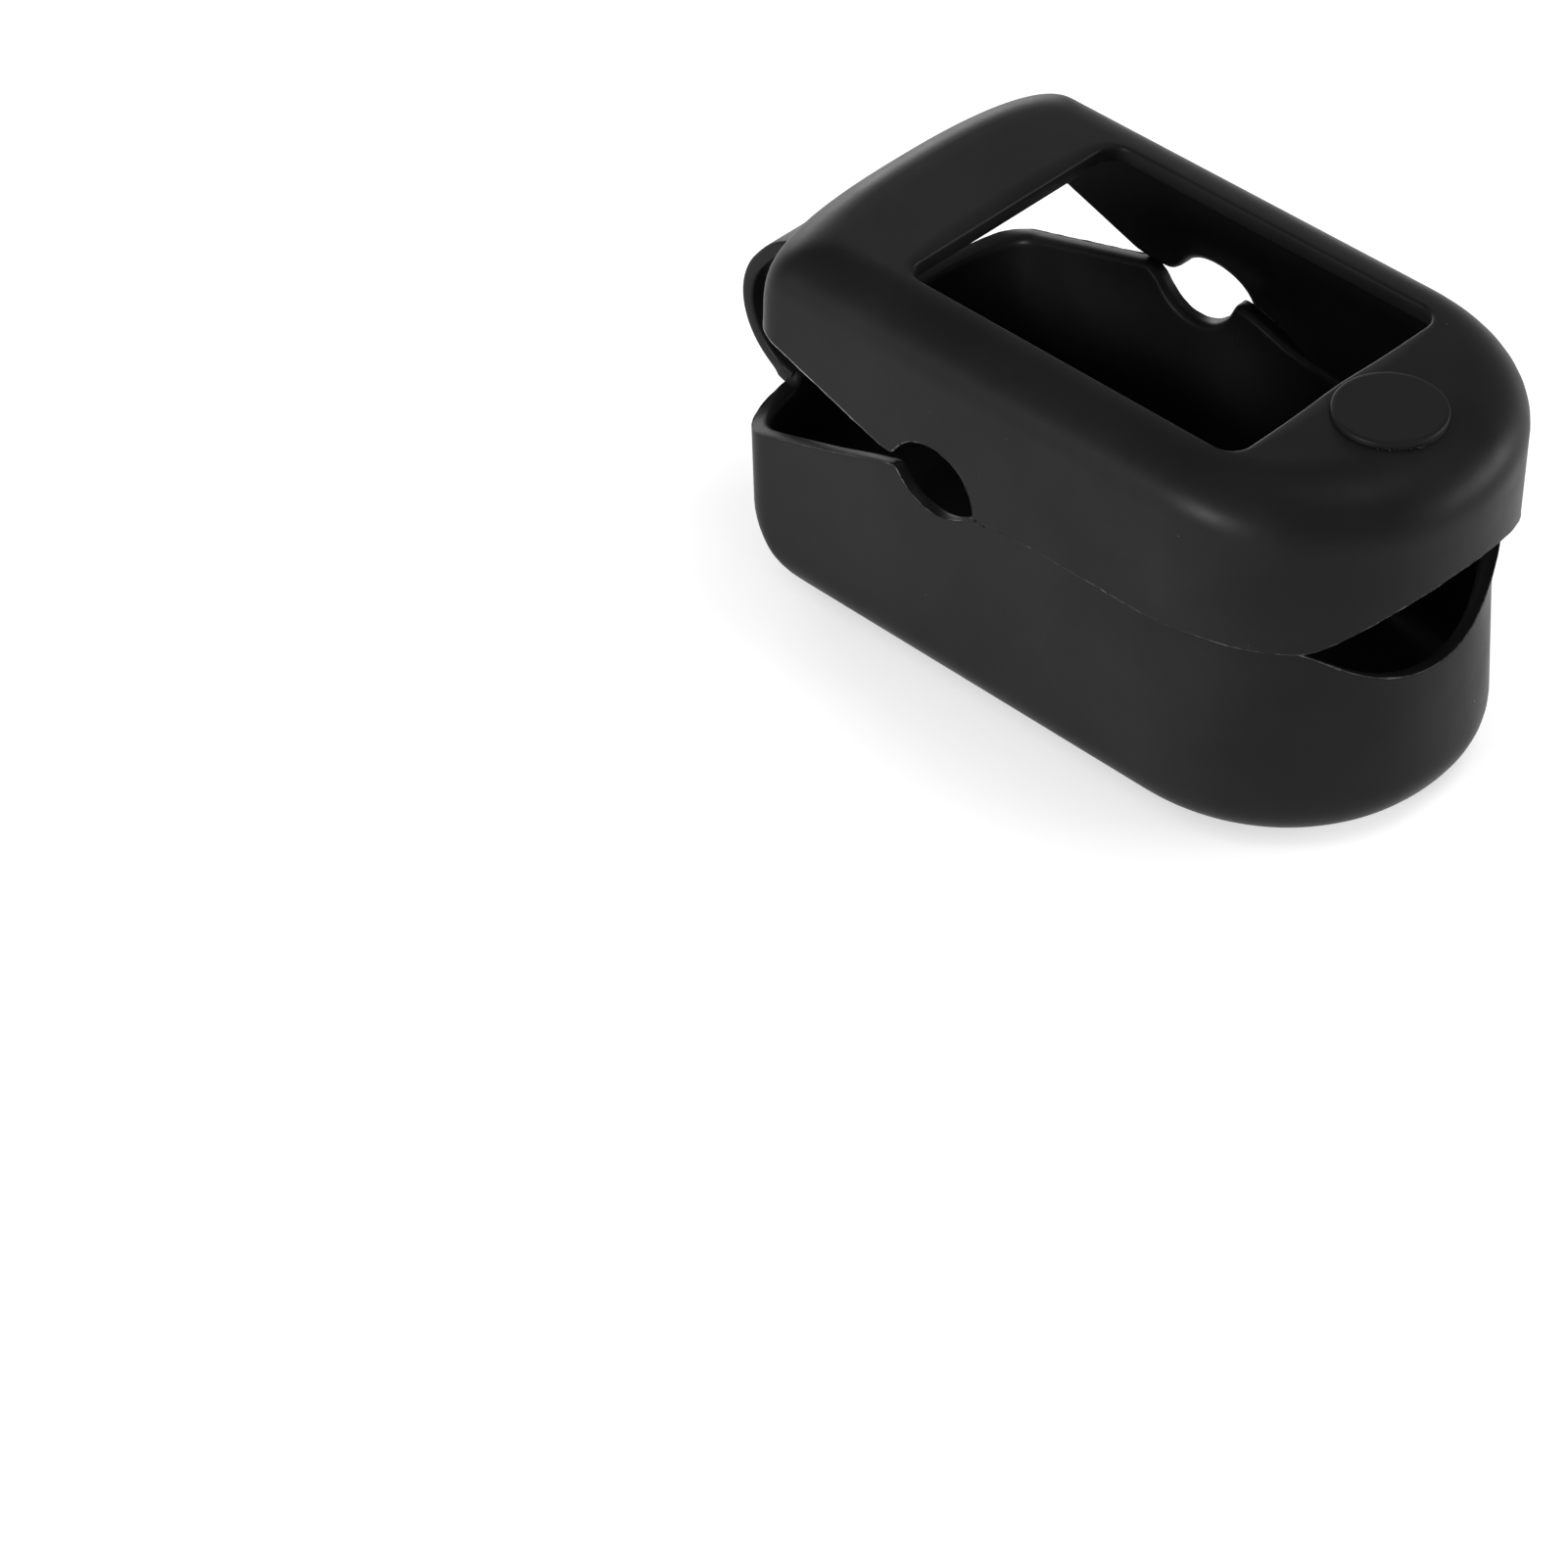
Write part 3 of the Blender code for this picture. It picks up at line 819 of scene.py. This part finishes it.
class Nodes:
    """Adds and links the nodes of one material."""

    def __init__(self, name):
        self.material = bpy.data.materials.new(name)
        self.material.use_nodes = True
        self.tree = self.material.node_tree
        self.shader = self.tree.nodes["Principled BSDF"]
        self.place = self.tree.nodes.new("ShaderNodeTexCoord").outputs["Object"]

    def link(self, source, target):
        """Link an output to an input."""
        self.tree.links.new(source, target)

    def noise(self, scale, detail=2.0, roughness=0.5):
        """Noise with a feature about 1 / scale metres across."""
        node = self.tree.nodes.new("ShaderNodeTexNoise")
        node.inputs["Scale"].default_value = scale
        node.inputs["Detail"].default_value = detail
        node.inputs["Roughness"].default_value = roughness
        self.link(self.place, node.inputs["Vector"])
        return node.outputs["Fac"]

    def ramp(self, source, low, high, first=0.0, second=1.0):
        """A value mapped from low..high to first..second, without going past them."""
        node = self.tree.nodes.new("ShaderNodeMapRange")
        node.inputs["From Min"].default_value = low
        node.inputs["From Max"].default_value = high
        node.inputs["To Min"].default_value = first
        node.inputs["To Max"].default_value = second
        self.link(source, node.inputs["Value"])
        return node.outputs["Result"]

    def math(self, operation, first, second):
        """Two values, each a number or an output, put through one operation."""
        node = self.tree.nodes.new("ShaderNodeMath")
        node.operation = operation
        for socket, value in zip(node.inputs, (first, second)):
            if isinstance(value, (int, float)):
                socket.default_value = value
            else:
                self.link(value, socket)
        return node.outputs[0]

    def mix(self, share, first, second):
        """A colour between two others."""
        node = self.tree.nodes.new("ShaderNodeMix")
        node.data_type = "RGBA"
        self.link(share, node.inputs["Factor"])
        for name, value in (("A", first), ("B", second)):
            socket = [s for s in node.inputs if s.name == name and s.type == "RGBA"][0]
            if isinstance(value, tuple):
                socket.default_value = (*value, 1.0)
            else:
                self.link(value, socket)
        return [s for s in node.outputs if s.type == "RGBA"][0]

    def specks(self, scale, size, rarity):
        """Small round specks, one in some of the cells of a grid."""
        cells = self.tree.nodes.new("ShaderNodeTexVoronoi")
        cells.inputs["Scale"].default_value = scale
        self.link(self.place, cells.inputs["Vector"])
        near = self.ramp(cells.outputs["Distance"], size, size * 0.6)
        pick = self.tree.nodes.new("ShaderNodeSeparateColor")
        self.link(cells.outputs["Color"], pick.inputs["Color"])
        chosen = self.ramp(pick.outputs["Red"], rarity, rarity + 0.01)
        return self.math("MULTIPLY", near, chosen)

    def bump(self, height, distance, strength, below=None):
        """A normal pushed by a height, on top of another one if it is given."""
        node = self.tree.nodes.new("ShaderNodeBump")
        node.inputs["Distance"].default_value = distance
        node.inputs["Strength"].default_value = strength
        self.link(height, node.inputs["Height"])
        if below is not None:
            self.link(below, node.inputs["Normal"])
        return node.outputs["Normal"]


def silicone(name, tone, roughness):
    """Satin black silicone: a soft mould grain, slight cloudiness and dust."""
    nodes = Nodes(name)
    cloud = nodes.noise(90.0, 3.0)
    deep = tuple(part * 0.82 for part in tone)
    pale = tuple(part * 1.22 for part in tone)
    colour = nodes.mix(nodes.ramp(cloud, 0.35, 0.68), deep, pale)
    dust = nodes.specks(420.0, 0.045, 0.93)
    lint = nodes.specks(1500.0, 0.07, 0.985)
    dirt = nodes.math("MAXIMUM", dust, lint)
    colour = nodes.mix(nodes.math("MULTIPLY", dirt, 0.45), colour, DUST_TONE)
    nodes.link(colour, nodes.shader.inputs["Base Color"])
    smear = nodes.ramp(nodes.noise(160.0, 4.0, 0.6), 0.3, 0.7, roughness - 0.045, roughness + 0.05)
    nodes.link(smear, nodes.shader.inputs["Roughness"])
    wave = nodes.bump(nodes.noise(220.0, 1.0), 0.00004, 0.6)
    peel = nodes.bump(nodes.noise(1900.0, 2.0), 0.00001, 0.5, wave)
    grain = nodes.bump(nodes.noise(9000.0, 2.0, 0.6), 0.000004, 0.55, peel)
    nodes.link(grain, nodes.shader.inputs["Normal"])
    nodes.shader.inputs["IOR"].default_value = SILICONE_IOR
    nodes.shader.inputs["Specular IOR Level"].default_value = SILICONE_SPECULAR
    return nodes.material


def painted_highlight_flash_material(name, rear_highlight_share):
    """Thin flash: the same silicone, with pale patches painted on as highlights where light catches it,
    most of all at the rear.
    """
    nodes = Nodes(name)
    # Pale patches painted on the flash as highlights; their mask also makes those patches a little
    # glossier
    highlight_patches = nodes.ramp(nodes.noise(1400.0, 3.0, 0.65), 0.42, 0.66)
    along = nodes.ramp(nodes.noise(120.0, 2.0), 0.4, 0.62, 0.02, FLASH_FRONT_HIGHLIGHT_SHARE)
    share = nodes.math("MULTIPLY", highlight_patches, along)
    apart = nodes.tree.nodes.new("ShaderNodeSeparateXYZ")
    nodes.link(nodes.place, apart.inputs["Vector"])
    # Towards the rear the flash is painted paler still, a painted highlight line along the rim beside
    # the V opening
    rear = nodes.ramp(apart.outputs["X"], *FLASH_REAR_HIGHLIGHT_X, 0.0, rear_highlight_share)
    rear = nodes.math("MULTIPLY", rear, nodes.ramp(highlight_patches, 0.0, 1.0, 0.6, 1.0))
    share = nodes.math("MAXIMUM", share, rear)
    nodes.link(nodes.mix(share, FLASH_DARK, FLASH_PAINTED_HIGHLIGHT), nodes.shader.inputs["Base Color"])
    nodes.link(nodes.ramp(highlight_patches, 0.0, 1.0, 0.5, 0.4), nodes.shader.inputs["Roughness"])
    nodes.link(nodes.bump(nodes.noise(5000.0), 0.00001, 0.5), nodes.shader.inputs["Normal"])
    nodes.shader.inputs["IOR"].default_value = SILICONE_IOR
    nodes.shader.inputs["Specular IOR Level"].default_value = FLASH_SPECULAR
    return nodes.material


def floor_material():
    """Pale, faintly uneven paper."""
    nodes = Nodes("pale_floor")
    colour = nodes.mix(nodes.ramp(nodes.noise(6.0, 3.0), 0.3, 0.7), (0.86, 0.86, 0.86), (0.9, 0.9, 0.9))
    nodes.link(colour, nodes.shader.inputs["Base Color"])
    nodes.shader.inputs["Roughness"].default_value = 0.9
    nodes.shader.inputs["Specular IOR Level"].default_value = 0.1
    nodes.shader.inputs["Emission Color"].default_value = (1.0, 1.0, 1.0, 1.0)
    nodes.shader.inputs["Emission Strength"].default_value = FLOOR_GLOW
    return nodes.material


# The studio


def make_floor():
    """A wide pale floor just under the cover."""
    work = bmesh.new()
    bmesh.ops.create_grid(work, x_segments=1, y_segments=1, size=FLOOR_SIZE)
    floor = add_mesh("studio_floor", work)
    floor.location.z = -FLOOR_DROP * MM
    floor.data.materials.append(floor_material())


def make_light(name, place, target, size, power):
    """A soft rectangular light aimed at a point; places are in metres."""
    lamp = bpy.data.lights.new(name, "AREA")
    lamp.shape = "RECTANGLE"
    lamp.size, lamp.size_y = size
    lamp.energy = power
    made = bpy.data.objects.new(name, lamp)
    made.location = place
    aim = Vector(target) - Vector(place)
    made.rotation_euler = aim.to_track_quat("-Z", "Y").to_euler()
    bpy.context.scene.collection.objects.link(made)


def make_world(strength):
    """Even pale surroundings."""
    world = bpy.data.worlds.new("studio")
    world.use_nodes = True
    back = world.node_tree.nodes["Background"]
    back.inputs["Color"].default_value = (1.0, 1.0, 1.0, 1.0)
    back.inputs["Strength"].default_value = strength
    bpy.context.scene.world = world


def make_camera():
    """The camera at the photograph's angle."""
    azimuth, elevation = radians(CAMERA_AZIMUTH), radians(CAMERA_ELEVATION)
    right = Vector((cos(azimuth), sin(azimuth), 0))
    ahead = Vector(
        (-sin(azimuth) * cos(elevation), cos(azimuth) * cos(elevation), -sin(elevation))
    )
    down = ahead.cross(right)
    origin = CAMERA_ORIGIN_RIGHT * right + CAMERA_ORIGIN_DOWN * down + CAMERA_DISTANCE * ahead
    place = Matrix((right, -down, -ahead)).transposed().to_4x4()
    place.translation = -origin * MM
    data = bpy.data.cameras.new("camera")
    data.sensor_width = SENSOR
    data.lens = CAMERA_LENS
    data.clip_start, data.clip_end = 0.01, 50.0
    camera = bpy.data.objects.new("camera", data)
    camera.matrix_world = place
    bpy.context.scene.collection.objects.link(camera)
    bpy.context.scene.camera = camera


def main():
    """Draw every piece, give the trays, the pad and the flash their bodies, give every piece its
    finish, and set up the studio.
    """
    bpy.context.scene.view_settings.view_transform = "Standard"
    shell = silicone("shell_silicone_detail", SHELL_TONE, SHELL_ROUGHNESS)
    pad_finish = silicone("pad_silicone_detail", PAD_TONE, PAD_ROUGHNESS)
    strap_finish = silicone("strap_silicone_detail", SHELL_TONE, SHELL_ROUGHNESS)
    # Flash finishes with painted highlights: strong at the rear of the upper rim, faint on the lower
    # rim
    flash = painted_highlight_flash_material("flash_painted_highlight_detail", FLASH_REAR_HIGHLIGHT_SHARE)
    dull_flash = painted_highlight_flash_material("dull_flash_painted_highlight_detail", DULL_REAR_HIGHLIGHT_SHARE)
    (lower, lower_bead), (upper, upper_bead), pad = make_lower(), make_upper(), make_pad()
    for piece, body, slot, finish, stands_for_body in (
        (lower, "lower_shell", "shell_silicone", shell, True),
        (upper, "upper_shell", "shell_silicone", shell, True),
        (pad, "button_pad", "pad_silicone", pad_finish, True),
        (lower_bead, "lower_shell", "shell_silicone", dull_flash, False),
        (upper_bead, "upper_shell", "shell_silicone", flash, False),
        (make_crumbs(), "upper_shell", "shell_silicone", flash, False),
    ):
        piece.data.materials.clear()
        piece.data.materials.append(finish)
        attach(piece, body)
        if stands_for_body:
            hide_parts(body)
    for label, side in (("left", 1), ("right", -1)):
        for piece in make_strap(label, side):
            piece.data.materials.append(strap_finish)
    make_floor()
    make_world(WORLD_STRENGTH)
    for light in LIGHTS:
        make_light(*light)
    make_camera()


main()
